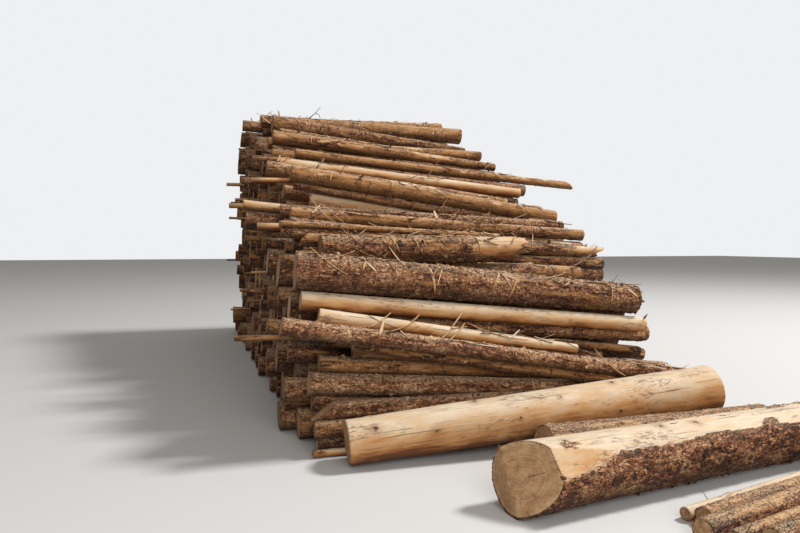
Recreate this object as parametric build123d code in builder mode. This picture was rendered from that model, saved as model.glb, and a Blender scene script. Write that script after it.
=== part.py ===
from build123d import *
import itertools
import math
import os
import random
from dataclasses import dataclass
import numpy as np

# A stack of three-metre logs, in millimetres.
# X runs along the logs, from their left ends to their right ends, seen from the near end.
# Y runs along the stack, from the near stepped end to the far end. Z is up.
# Each log is a tapered solid that lies on the floor or on the logs below it.

# Stock and stack
stock_length = 3000        # length that most of the logs are cut to
length_spread = 110        # how much longer or shorter a hidden log may be
end_scatter = 110          # how far a hidden log may stand out of the stack's side
stack_height = 3500        # top of the filling
clearance = 0.5            # between two logs where one lies on the other
shaving = 0.2              # taken off a hidden log's radius, so that no two grow together
beside_gap = 3             # between logs that lie side by side on the floor
inset_behind_face = 150    # hidden logs keep this far behind the stepped face
row_drift = 330            # how far the far end of the stack swings to the left

# Hidden logs
thick_share = 0.8          # share of the hidden logs that are thick
thick_smallest = 190
thick_largest = 325
thin_smallest = 140
thin_largest = 200
taper_smallest = 30        # loss of diameter from butt to top
taper_largest = 90
wanted_tilt = -0.07        # slope of a hidden log's axis, down towards the right
hidden_sides = 8
face_sides = 20            # of the logs that are seen at full length
layer_height = 270         # hidden logs of one layer share a node
filling_seed = 11

# Rolling and seating
scan_step = 45             # spacing of the places that are tried for a hidden log
roll_travel = 60           # how far a hidden log may roll from there
yaw_travel = 50            # how far its two ends may roll apart
bearer_sizes = (80, 120, 165, 220)   # diameters tried for a bearer log
bearer_shifts = (0, 60, 130)         # places tried for it, along the stack
log_shifts = (0, -45, 45)            # places tried for the log itself
long_bearer = (0.01, 0.99)           # from where to where a bearer runs under its log
short_bearers = ((0.01, 0.35), (0.65, 0.99))
bearer_taper = 110                   # largest difference between its two diameters
seat_tolerance = 15                  # a miss that isn't worth another bearer
poor_seat = 70                       # a miss at which short bearers are tried too
move_reach = 300                     # how far a log on the floor may be moved aside
far_away = 20000

# Flat cuts on logs of the face, in the log's own directions: across the log towards the
# stack, up, and along it from its left end. Each has a point, and the side that is cut off.
CUTS = {
    "slant_cut_pole": [((0, -75, 0), (0, 0.82, -0.57))],
    "foot_log_hewn": [
        ((-160, 95, 0), (-0.80, 0.60, -0.045)),
        ((-120, 60, 150), (-0.55, 0.34, -0.76)),
    ],
    "broken_bark_log": [
        ((0, -20, 1900), (0.10, 0.55, 0.83)),
        ((-60, 0, 1880), (-0.62, 0.10, 0.78)),
    ],
    "splintered_pole": [((0, 10, 40), (0.35, 0.60, -0.72))],
    "jutting_pole": [((0, 0, 3660), (0.2, 0.75, 0.63))],
}

# Outline of the stack's end view, as (y, z) of log axes
NEAR_SLOPE = [
    (640, 0), (700, 300), (720, 700), (720, 1100), (900, 1450), (1350, 1640),
    (2400, 1950), (3200, 2320), (3900, 2680), (4800, 2980), (5300, 3180), (5700, 3400),
]
FAR_SLOPE = [(7500, 0), (7450, 600), (7200, 1300), (6550, 2900), (6350, 3400)]

# Directions in the end view along which two logs are held apart
angles = np.radians(np.linspace(1, 179, 90))
toward_y, toward_z = np.cos(angles), np.sin(angles)
places_along = np.linspace(0, 1, 17)
end_reach = 40             # the rim of a tilted log's end reaches this far past its axis


@dataclass
class Log:
    """A tapered log: its left end at start, its right end at start + length."""
    name: str
    start: float
    length: float
    dia: tuple              # at the left end and the right end
    y: tuple                # of the axis at both ends
    sides: int = face_sides
    turn: float = 0.0       # turns the corners of a many-sided log about its axis
    z: tuple = (0.0, 0.0)   # of the axis at both ends, found by resting

    @property
    def end(self):
        return self.start + self.length

    @property
    def radius(self):
        return self.dia[0] / 2, self.dia[1] / 2

    @property
    def centre(self):
        a, b = self.radius
        share = (a * a + 2 * a * b + 3 * b * b) / (a * a + a * b + b * b) / 4
        return self.start + self.length * share

    def reach(self, direction):
        """How far the section reaches in a direction, as a share of its radius."""
        step = 2 * math.pi / self.sides
        return np.cos((direction - self.turn + step / 2) % step - step / 2)

    def row(self):
        return [self.start, self.end, *self.y, *self.z, *self.radius]


def lowest_line(points, centre):
    """The line that lies on the upper hull of the points (x, z) above the centre of mass."""
    hull = []
    for x, z in sorted(points):
        if hull and x - hull[-1][0] < 1e-6:
            if z <= hull[-1][1]:
                continue
            hull.pop()
        while len(hull) > 1:
            (xa, za), (xb, zb) = hull[-2], hull[-1]
            if (zb - za) * (x - xa) > (z - za) * (xb - xa):
                break
            hull.pop()
        hull.append((x, z))
    for (xa, za), (xb, zb) in zip(hull, hull[1:]):
        if xa <= centre <= xb:
            slope = (zb - za) / (xb - xa)
            return slope, za + slope * (centre - xa)


class Stack:
    """The logs laid so far, and the ways to lay the next."""

    def __init__(self):
        self.logs = []
        self.rows = np.empty((0, 8))
        self.shapes = np.empty((0, len(angles)))

    def add(self, log):
        self.logs.append(log)
        self.rows = np.vstack([self.rows, log.row()])
        self.shapes = np.vstack([self.shapes, log.reach(angles)])

    def take_back(self):
        self.logs.pop()
        self.rows, self.shapes = self.rows[:-1], self.shapes[:-1]

    def rest(self, log, y):
        """Heights of both ends of the log's axis when it lies on what is below."""
        y_start, y_end = y
        r_start, r_end = log.radius
        yaw = (y_end - y_start) / log.length
        taper = (r_end - r_start) / log.length
        down = log.reach(angles + math.pi)
        on_floor = float(log.reach(np.array([-math.pi / 2]))[0])
        wide = self.rows[:, 6:].max(axis=1, initial=0) + max(log.radius)
        low_y, high_y = self.rows[:, 2:4].min(axis=1), self.rows[:, 2:4].max(axis=1)
        near = (min(y) < high_y + wide) & (max(y) > low_y - wide)
        near &= self.rows[:, 1] + end_reach > log.start
        near &= self.rows[:, 0] - end_reach < log.end
        below, shapes = self.rows[near], self.shapes[near]
        span = below[:, 1] - below[:, 0]
        low = np.maximum(below[:, 0], log.start) - end_reach
        high = np.minimum(below[:, 1], log.end) + end_reach
        x = low[:, None] + (high - low)[:, None] * places_along
        along = (x - below[:, :1]) / span[:, None]
        y_b = below[:, 2:3] + (below[:, 3:4] - below[:, 2:3]) * along
        z_b = below[:, 4:5] + (below[:, 5:6] - below[:, 4:5]) * along
        r_b = below[:, 6:7] + (below[:, 7:8] - below[:, 6:7]) * along
        yaw_b = (below[:, 3] - below[:, 2]) / span
        tilt_b = (below[:, 5] - below[:, 4]) / span
        taper_b = (below[:, 7] - below[:, 6]) / span
        own = (x - log.start) / log.length
        apart = y_start + (y_end - y_start) * own - y_b
        radius = r_start + (r_end - r_start) * own
        lean_b = yaw_b[:, None] * toward_y + tilt_b[:, None] * toward_z
        wide_b = shapes * np.sqrt(1 + lean_b**2) * (1 + taper_b[:, None] * lean_b)
        reach_b = r_b[:, :, None] * wide_b[:, None, :]
        held = np.abs(apart) < r_b + radius + clearance
        tilt = 0.0
        for _ in range(4):
            lean = -(yaw * toward_y + tilt * toward_z)
            own_wide = down * np.sqrt(1 + lean**2) * (1 + taper * lean)
            need = reach_b + radius[:, :, None] * own_wide + clearance
            need = ((need - toward_y * apart[:, :, None]) / toward_z).min(axis=2)
            floor = math.sqrt(1 + tilt**2) * on_floor
            points = [(log.start, r_start * floor), (log.end, r_end * floor)]
            points += list(zip(x[held].tolist(), (z_b + need)[held].tolist()))
            new_tilt, level = lowest_line(points, log.centre)
            settled = abs(new_tilt - tilt) < 5e-5
            tilt = new_tilt
            if settled:
                break
        return (level + tilt * (log.start - log.centre), level + tilt * (log.end - log.centre))

    def rough_heights(self, log, ys):
        """Middle height of a round log at each y, near enough to choose a place by."""
        marks = np.linspace(log.start, log.end, 5)
        rows = self.rows
        span = rows[:, 1:2] - rows[:, :1]
        along = (marks - rows[:, :1]) / span
        inside = (along > -0.01) & (along < 1.01)
        y_b = rows[:, 2:3] + (rows[:, 3:4] - rows[:, 2:3]) * along
        z_b = rows[:, 4:5] + (rows[:, 5:6] - rows[:, 4:5]) * along
        r_b = rows[:, 6:7] + (rows[:, 7:8] - rows[:, 6:7]) * along
        radius = np.interp(marks, [log.start, log.end], log.radius)
        reach = r_b + radius
        gap = reach[None] ** 2 - (ys[:, None, None] - y_b[None]) ** 2
        lift = np.where((gap > 0) & inside[None], z_b[None] + np.sqrt(np.maximum(gap, 0)), 0)
        high = np.maximum(lift.max(axis=1, initial=0), radius)
        left, right = high[:, :2].max(axis=1), high[:, 3:].max(axis=1)
        return np.maximum((left + right) / 2, high[:, 2])

    def settle(self, log, travel, yaw):
        """Rolls the log into the hollow beside it, and rests it there."""
        first = log.y
        share = (log.centre - log.start) / log.length

        def height(y):
            z = self.rest(log, y)
            return z[0] + (z[1] - z[0]) * share

        best = height(log.y)
        for step in (24, 6):
            for _ in range(12):
                for left, right in ((1, 1), (-1, -1), (1, 0), (-1, 0), (0, 1), (0, -1)):
                    y = (log.y[0] + left * step, log.y[1] + right * step)
                    moved = max(abs(y[0] - first[0]), abs(y[1] - first[1]))
                    turned = abs((y[1] - y[0]) - (first[1] - first[0]))
                    if moved > travel or turned > yaw:
                        continue
                    tried = height(y)
                    if tried < best - 0.02 * step:
                        best, log.y = tried, y
                        break
                else:
                    break
        log.z = self.rest(log, log.y)


def y_on(outline, z):
    return np.interp(z, [p[1] for p in outline], [p[0] for p in outline])


stack_depth = y_on(FAR_SLOPE, 0)
stack = Stack()
chance = random.Random(filling_seed)
waiting = []


def hidden_log():
    thick = chance.random() < thick_share
    smallest = thick_smallest if thick else thin_smallest
    largest = thick_largest if thick else thin_largest
    butt = chance.uniform(smallest, largest)
    top = butt - chance.uniform(taper_smallest, taper_largest)
    dia = (butt, top)
    length = stock_length + chance.uniform(-length_spread, length_spread)
    start = -length / 2 + chance.uniform(-end_scatter, end_scatter)
    turn = chance.uniform(0, 2 * math.pi / hidden_sides)
    return Log("hidden", start, length, dia, (0, 0), hidden_sides, turn)


def fill(level):
    """Lays hidden logs in the lowest places until they reach a level."""
    while True:
        log = waiting.pop() if waiting else hidden_log()
        ys = np.arange(y_on(NEAR_SLOPE, 0) + inset_behind_face, y_on(FAR_SLOPE, 0), scan_step)
        heights = stack.rough_heights(log, ys)
        inside = (ys > y_on(NEAR_SLOPE, heights) + inset_behind_face)
        inside &= ys < y_on(FAR_SLOPE, heights)
        if not inside.any():
            waiting.append(log)
            return
        pick = int(np.argmin(np.where(inside, heights, np.inf)))
        if heights[pick] + max(log.radius) > level:
            waiting.append(log)
            return
        y = float(ys[pick])
        log.y = (y, y)
        log.start -= row_drift * (y / stack_depth) ** 2
        tilts = []
        for dia in (log.dia, log.dia[::-1]):
            log.dia = dia
            z = stack.rest(log, log.y)
            tilts.append((abs((z[1] - z[0]) / log.length - wanted_tilt), dia))
        log.dia = min(tilts)[1]
        stack.settle(log, roll_travel, yaw_travel)
        stack.add(log)


def lay(name, start, length, dia, y, seat=None):
    """Lays a log of the face at its place, near its seat, on a bearer log where it needs one."""
    log = Log(name, start, length, dia, y)
    if seat:
        fill(sum(seat) / 2 - max(log.radius))
        seat_log(log, seat)
    log.z = stack.rest(log, log.y)
    stack.add(log)


def seat_log(log, seat):
    """Tries places and bearers, and keeps those that bring the log nearest to its seat."""
    wanted_y = log.y

    def miss():
        z = stack.rest(log, log.y)
        return abs(z[0] - seat[0]) + abs(z[1] - seat[1])

    best, best_y, chosen = math.inf, wanted_y, None
    for spans in ((long_bearer,), short_bearers):
        if best < poor_seat:
            break
        for log_shift in log_shifts:
            log.y = (wanted_y[0] + log_shift, wanted_y[1] + log_shift)
            plain = miss()
            if plain < best - seat_tolerance:
                best, best_y, chosen = plain, log.y, None
            for bearer in bearers(log, spans):
                bearer.z = stack.rest(bearer, bearer.y)
                stack.add(bearer)
                tried = miss()
                stack.take_back()
                if tried < best - seat_tolerance:
                    best, best_y, chosen = tried, log.y, bearer
    log.y = best_y
    if chosen:
        stack.add(chosen)


def bearers(log, spans):
    """The bearer logs that are tried under a log."""
    for shift, span in itertools.product(bearer_shifts, spans):
        ys = [log.y[0] + (log.y[1] - log.y[0]) * share + shift for share in span]
        start = log.start + log.length * span[0]
        length = min(log.length, stock_length) * (span[1] - span[0])
        for dia in itertools.product(bearer_sizes, repeat=2):
            if abs(dia[0] - dia[1]) <= bearer_taper:
                yield Log("bearer", start, length, dia, tuple(ys), hidden_sides)


def lay_beside(name, start, length, dia, y, side):
    """Lays a log on the floor, moved to one side until it only touches its neighbour."""
    log = Log(name, start, length, dia, y)
    floor_height = sum(stack.rest(log, (y[0] + side * far_away, y[1] + side * far_away)))
    blocked, free = 0.0, side * move_reach
    for _ in range(20):
        middle = (blocked + free) / 2
        if sum(stack.rest(log, (y[0] + middle, y[1] + middle))) > floor_height + 0.01:
            blocked = middle
        else:
            free = middle
    free += side * beside_gap
    log.y = (y[0] + free, y[1] + free)
    log.z = stack.rest(log, log.y)
    stack.add(log)


# The logs of the near end and the face, from the floor up, with the filling behind them.
# Each has its start, length, both diameters, y of both ends and the height of its seat.
lay("foot_bearer_log", 1150, 950, (115, 110), (300, 250))
lay("foot_log_peeled", -1240, 3040, (336, 417), (240, 240))
lay_beside("valley_log", 100, 1900, (290, 300), (40, 40), -1)
lay_beside("foot_log_hewn", -480, 3050, (430, 390), (-720, -300), -1)
lay_beside("foot_pole_1", 430, 2000, (80, 75), (-1010, -540), -1)
lay_beside("foot_pole_2", 480, 2000, (110, 100), (-1110, -640), -1)
lay_beside("foot_pole_3", 330, 2000, (130, 120), (-1240, -760), -1)
lay_beside("foot_pole_4", 450, 2000, (90, 85), (-1310, -850), -1)
lay_beside("foot_pole_5", 630, 2000, (110, 100), (-1380, -930), -1)
lay_beside("bottom_pole_pale", -1450, 2300, (60, 55), (290, 290), 1)
lay("bottom_pole_red", -1430, 1700, (130, 120), (500, 500), (176, 184))
lay("slant_cut_pole", -1460, 1900, (150, 130), (530, 500), (308, 184))
lay("speckled_red_log", -1450, 2900, (175, 150), (620, 640), (485, 149))
lay("patchy_orange_log", -1360, 2900, (140, 120), (700, 700), (609, 260))
lay("yellow_ended_pole", -1130, 2900, (110, 125), (620, 620), (790, 280))
lay("long_bark_log", -1670, 3570, (135, 125), (520, 550), (979, 399))
lay("pale_ended_pole", -1750, 2900, (110, 100), (750, 750), (930, 524))
lay("under_pale_log", -1260, 2950, (120, 140), (850, 850), (832, 698))
lay("thin_bark_pole", -1150, 2700, (115, 110), (800, 800), (929, 701))
lay("peeled_log_yellow", -1390, 2120, (130, 85), (620, 550), (1056, 681))
lay("peeled_log_pale", -1510, 3000, (150, 140), (670, 670), (1130, 857))
lay("thick_bark_log", -1540, 2990, (300, 250), (700, 700), (1251, 1064))
lay("orange_ended_log", -900, 2030, (130, 140), (1130, 1130), (1420, 1351))
lay("broken_bark_log", -1310, 1900, (250, 225), (980, 980), (1507, 1468))
lay("splintered_pole", -1450, 2900, (110, 105), (1200, 1200), (1584, 1491))
lay("slope_log_01", -1500, 2850, (110, 100), (1450, 1450), (1791, 1463))
lay("long_thin_pole", -1610, 2000, (50, 46), (1300, 1300), (1767, 1624))
lay("slope_log_02", -1480, 3000, (130, 115), (1700, 1700), (1858, 1646))
lay("slope_log_04", -1540, 3000, (120, 110), (2000, 2000), (1889, 1744))
lay("slope_log_03", -1880, 2700, (95, 88), (2100, 2100), (1971, 1672))
lay("bright_peeled_log", -1190, 2900, (190, 120), (2500, 2500), (2041, 1612))
lay("slope_log_06", -1450, 3000, (150, 120), (2750, 2750), (2112, 1803))
lay("slope_log_05", -1400, 3000, (170, 160), (2450, 2450), (2266, 1860))
lay("slope_log_07", -1230, 2900, (170, 130), (2900, 2900), (2033, 1973))
lay("slope_log_08", -1480, 2950, (140, 100), (3150, 3150), (2304, 1976))
lay("slope_log_09", -1600, 2900, (190, 120), (3100, 3100), (2409, 1994))
lay("yellow_ended_log", -1450, 3000, (160, 130), (3200, 3200), (2442, 2193))
lay("slope_log_10", -1450, 3000, (150, 90), (3350, 3350), (2439, 2261))
lay("jutting_pole", -1240, 3700, (110, 100), (3450, 3450), (2636, 2337))
lay("slope_log_11", -1500, 2900, (150, 100), (3700, 3700), (2638, 2379))
lay("slope_log_12", -1470, 3000, (180, 100), (3950, 3950), (2885, 2613))
lay("slope_log_13", -1500, 3000, (160, 140), (4300, 4300), (2890, 2825))
lay("slope_log_14", -1310, 3000, (150, 80), (4800, 4800), (3112, 2824))
lay("ridge_log", -1370, 3000, (277, 120), (5300, 5300), (3319, 3054))
lay("top_log_1", -1510, 3200, (190, 250), (5650, 5650), (3418, 3324))
lay("top_log_2", -1770, 3300, (170, 186), (5850, 5850), (3400, 3186))
lay("top_log_3", -1500, 3000, (160, 200), (6100, 6100), (3486, 3569))
fill(stack_height)


def axis_plane(log):
    """The plane of the log's left end, with its Z along the log."""
    foot = Vector(log.start, log.y[0], log.z[0])
    along = (Vector(log.end, log.y[1], log.z[1]) - foot).normalized()
    across = Vector(0, 1, 0) - along * along.Y
    return Plane(origin=foot, x_dir=across, z_dir=along)


def frustum_length(log):
    return math.dist((log.start, log.y[0], log.z[0]), (log.end, log.y[1], log.z[1]))


def ring(plane, radius, height, log):
    turns = [log.turn + 2 * math.pi * k / log.sides for k in range(log.sides)]
    points = [(radius * math.cos(turn), radius * math.sin(turn), height) for turn in turns]
    return [plane.from_local_coords(point) for point in points]


def many_sided(log, shaved=0):
    """A log as a tapered solid with flat sides."""
    plane = axis_plane(log)
    left = ring(plane, log.radius[0] - shaved, 0, log)
    right = ring(plane, log.radius[1] - shaved, frustum_length(log), log)
    faces = [Face(Wire.make_polygon(left)), Face(Wire.make_polygon(right))]
    for k in range(log.sides):
        after = (k + 1) % log.sides
        corners = [left[k], left[after], right[after], right[k]]
        faces.append(Face(Wire.make_polygon(corners)))
    return Solid(Shell(faces))


def corners_of(log):
    plane = axis_plane(log)
    return ring(plane, log.radius[0], 0, log) + ring(plane, log.radius[1], frustum_length(log), log)


corners = [corner for log in stack.logs for corner in corners_of(log)]
low = [min(tuple(c)[k] for c in corners) for k in range(3)]
high = [max(tuple(c)[k] for c in corners) for k in range(3)]
shift = (-(low[0] + high[0]) / 2, -(low[1] + high[1]) / 2, -low[2])
for log in stack.logs:
    log.start += shift[0]
    log.y = (log.y[0] + shift[1], log.y[1] + shift[1])
    log.z = (log.z[0] + shift[2], log.z[1] + shift[2])

os.makedirs("parts", exist_ok=True)

for log in stack.logs:
    if log.sides == hidden_sides:
        continue
    own = axis_plane(log)
    with BuildPart() as face_log:
        add(many_sided(log))
        for point, direction in CUTS.get(log.name, []):
            corner = own.from_local_coords(point)
            towards = own.from_local_coords(direction) - own.origin
            split(bisect_by=Plane(origin=corner, z_dir=towards), keep=Keep.BOTTOM)
    face_log.part.label = log.name
    export_step(face_log.part, f"parts/{log.name}.step")

hidden = [log for log in stack.logs if log.sides == hidden_sides]
top_layer = int(max(sum(log.z) / 2 for log in hidden) // layer_height)
for layer in range(top_layer + 1):
    members = [log for log in hidden if int(sum(log.z) / 2 // layer_height) == layer]
    if not members:
        continue
    with BuildPart() as layer_logs:
        add([many_sided(log, shaving) for log in members])
    layer_logs.part.label = f"inner_logs_layer_{layer + 1:02d}"
    export_step(layer_logs.part, f"parts/inner_logs_layer_{layer + 1:02d}.step")
    print(layer_logs.part.label, len(members))
print(len(stack.logs), "logs")
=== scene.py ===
import math
import random

import bpy
import numpy as np
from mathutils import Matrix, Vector
from mathutils.bvhtree import BVHTree


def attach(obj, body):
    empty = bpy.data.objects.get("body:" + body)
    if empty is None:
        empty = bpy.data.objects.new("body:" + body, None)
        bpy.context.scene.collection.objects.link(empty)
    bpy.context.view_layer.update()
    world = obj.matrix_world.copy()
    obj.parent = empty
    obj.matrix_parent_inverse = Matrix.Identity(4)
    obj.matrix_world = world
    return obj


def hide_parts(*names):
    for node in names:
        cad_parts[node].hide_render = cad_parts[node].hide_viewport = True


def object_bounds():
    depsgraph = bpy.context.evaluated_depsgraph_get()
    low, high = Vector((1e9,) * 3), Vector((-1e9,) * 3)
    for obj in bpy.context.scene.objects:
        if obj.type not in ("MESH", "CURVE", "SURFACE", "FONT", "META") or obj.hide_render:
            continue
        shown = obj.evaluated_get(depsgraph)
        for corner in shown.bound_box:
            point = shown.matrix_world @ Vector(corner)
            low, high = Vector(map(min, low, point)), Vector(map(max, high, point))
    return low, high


# A stack of logs. X runs along the logs, Y along the stack, Z is up, in metres.
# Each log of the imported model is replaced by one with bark, bare wood, knots and sawn ends.

# Spacing of the points of a log's mesh
near_step = 0.0125          # on the big logs at the foot
face_step = 0.0145          # on the logs of the lower face
slope_step = 0.0185         # on the logs of the upper slope
inner_step = 0.036          # on the logs of which mostly the ends show
face_stretch = 1.15         # the points lie that much further apart along the log
inner_stretch = 6.0         # and that much on the logs of which mostly the ends show
least_around = 10           # fewest points round a log
least_along = 8             # and fewest steps along it

# Form of a log
skin_share = 0.972          # radius at the butt, against the plain log's, before bark is raised
butt_swell = 0.028          # how much wider the butt is than the straight taper
butt_reach = 0.28           # how far the swelling reaches along the log
lump_share = 0.016          # unevenness of the section
bow_share = 0.0022          # bow of the log, as a share of its length
saw_lean = 0.05             # how far a sawn end is out of square
end_dish = 0.002            # how uneven a sawn end is
steepest_cut = 0.3          # a cut whose normal leans more than this along the log is at its end

# Bark, knots and bare wood
bark_thickness = 0.007
flake_length = 0.045        # of the plates that the bark is cracked into
flake_width = 0.020
flake_size = 0.040          # of a loose flake that stands off the bark
knot_height = 0.005
skin_bump = 0.0035          # depth of the fine bump on the side of a log
end_bump = 0.0018           # and on its sawn ends
specular = 0.3
hewn_side_shade = 0.55           # how much darker a hewn side is painted, as painted shade
whorl_gaps = (0.22, 0.48)   # from one whorl of branch knots to the next
knot_share = (0.07, 0.15)   # radius of a knot, as a share of the log's
no_knot = 9.0               # distance to the next knot, in its radii, where there is none
stub_chance = 0.30          # share of the knots that keep a stub of their branch

# Loose pieces, and where they lie
strips_on_slope = 700       # loose strips of bark on the stepped near end
strips_on_top = 110         # and on the rest of the stack's top
draped_strips = 150         # strips that hang over the side of a log
twigs_on_slope = 130
strip_lengths = (0.05, 0.34)
strip_widths = (0.008, 0.034)
draped_widths = (0.006, 0.022)
sheet_thickness = 0.0022    # of a loose strip of bark
twig_lengths = (0.12, 0.6)
twig_radii = (0.003, 0.008)
path_steps = 7              # points along a strip or a twig
rod_sides = 6
slope_foot = -2.6           # where along the stack its stepped near end starts
slope_head = 2.9            # and where it reaches the top
top_margin = 0.3            # what stays free at the far end
side_margin = 0.4           # and at the ends of the logs
steepest_strip = 0.9        # rise of a strip or a twig, against its length
lowest_strip = 0.15         # none of those lies lower than this
lowest_draped = 0.02        # and no strip hangs down lower than this
lowest_stub = 0.01          # nor does a stub of a branch reach lower than this
stub_lengths = (0.008, 0.014, 0.020, 0.045)
above_all = 9.0             # a height over the whole stack
loose_seed = 11

# Thin poles that stick out between the logs at their left ends
thin_poles = 26             # at most that many
pole_tries = 4000           # places tried for them
pole_heights = (0.3, 3.2)
pole_gaps = (0.014, 0.045)  # free radius between the logs where one goes
pole_tips = (-0.10, 0.22)   # place of its tip, from the left side of the stack
pole_step = 0.16            # distance of the five points along it

# The dead branch on top: its place, its points from there, and those of its fork
branch_foot = (-1.15, 2.62)
branch_steps = ((0, 0, 0), (0.05, 0, 0.06), (0.11, 0, 0.11), (0.19, 0.01, 0.21))
fork_steps = ((0, 0, 0), (0.06, 0.01, -0.02), (0.08, 0.01, -0.10))

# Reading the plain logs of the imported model
steepest_side = 0.3         # a side's normal leans less than this along the log
side_tolerance = 0.004      # how far a side may be from the fitted log
square_end = 0.985          # an end that is squarer than this is a plain sawn end
same_cut = 0.02             # normals of one flat cut differ less than this
smallest_triangle = 1e-8

# Camera, from the left end of the peeled log at the foot
camera_from_foot_log = (-0.81, -4.24)
camera_height = 1.56
camera_turn = -15.76
camera_tip = -2.09
camera_lens = 27.9
sensor_width = 36.0

# Floor, backdrop and light
floor_reach = 60.0
floor_colour = (0.60, 0.59, 0.575)
backdrop_colour = (0.86, 0.87, 0.88)
world_light = (1.0, 0.98, 0.95)
world_strength = 0.36
light_target = (0.0, 0.0, 1.2)

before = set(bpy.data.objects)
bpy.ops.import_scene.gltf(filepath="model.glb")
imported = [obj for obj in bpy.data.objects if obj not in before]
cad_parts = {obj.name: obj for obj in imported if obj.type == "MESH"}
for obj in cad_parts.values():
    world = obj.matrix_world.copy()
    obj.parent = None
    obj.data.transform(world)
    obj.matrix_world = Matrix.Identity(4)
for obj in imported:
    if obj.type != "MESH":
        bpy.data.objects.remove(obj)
cad_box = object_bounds()


class Log:
    """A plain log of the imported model: its axis, its radius at both ends and its flat cuts."""

    def __init__(self, points, normals, offsets):
        side = np.abs(normals[:, 0]) < steepest_side
        across, reach = normals[side], offsets[side]
        system = np.column_stack([across[:, 1:], np.ones(len(across))])
        ends = []
        for x in (points[:, 0].min(), points[:, 0].max()):
            goal = reach - across[:, 0] * x
            fits = np.ones(len(goal), dtype=bool)
            for _ in range(4):
                found = np.linalg.lstsq(system[fits], goal[fits], rcond=None)[0]
                miss = np.abs(system @ found - goal)
                fits = miss < max(side_tolerance, 1.5 * np.median(miss))
            ends.append((x, *found))
        lean = np.hypot(*(np.array(ends[1][1:3]) - ends[0][1:3])) / (ends[1][0] - ends[0][0])
        self.start = np.array([ends[0][0] + ends[0][3] * lean, *ends[0][1:3]])
        self.end = np.array([ends[1][0] - ends[1][3] * lean, *ends[1][1:3]])
        self.length = np.linalg.norm(self.end - self.start)
        self.axis = (self.end - self.start) / self.length
        self.side = np.array([0.0, 1.0, 0.0]) - self.axis * self.axis[1]
        self.side /= np.linalg.norm(self.side)
        self.up = np.cross(self.axis, self.side)
        self.radius = (ends[0][3], ends[1][3])
        self.cuts = []
        leftover = np.abs(normals @ self.axis) <= square_end
        leftover[np.flatnonzero(side)[fits]] = False
        for normal, offset in zip(normals[leftover], offsets[leftover]):
            cut = np.array([normal @ self.side, normal @ self.up, normal @ self.axis])
            level = offset - normal @ self.start
            if all(np.abs(cut - known).max() > same_cut for known, _ in self.cuts):
                self.cuts.append((cut, level))

    def radius_at(self, share):
        return self.radius[0] * (1 - share) + self.radius[1] * share

    def outward(self, turn):
        """The way off the log at a turn round it."""
        return math.cos(turn) * self.side + math.sin(turn) * self.up


def logs_of(node):
    """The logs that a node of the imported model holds, found as separate islands."""
    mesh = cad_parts[node].data
    places = np.empty(len(mesh.vertices) * 3)
    mesh.vertices.foreach_get("co", places)
    places, same = np.unique(places.reshape(-1, 3).round(5), axis=0, return_inverse=True)
    same = same.reshape(-1)
    owner = list(range(len(places)))

    def top(k):
        while owner[k] != k:
            owner[k] = owner[owner[k]]
            k = owner[k]
        return k

    triangles = [[same[k] for k in polygon.vertices] for polygon in mesh.polygons]
    for corners in triangles:
        for k in corners[1:]:
            owner[top(k)] = top(corners[0])
    islands = {}
    for corners in triangles:
        islands.setdefault(top(corners[0]), []).append(corners)
    found = []
    for corners in islands.values():
        corners = np.array(corners)
        a, b, c = places[corners[:, 0]], places[corners[:, 1]], places[corners[:, 2]]
        normals = np.cross(b - a, c - a)
        sizes = np.linalg.norm(normals, axis=1)
        good = sizes > smallest_triangle
        normals = normals[good] / sizes[good, None]
        offsets = np.einsum("ij,ij->i", normals, a[good])
        found.append(Log(places[np.unique(corners)], normals, offsets))
    return found


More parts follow.
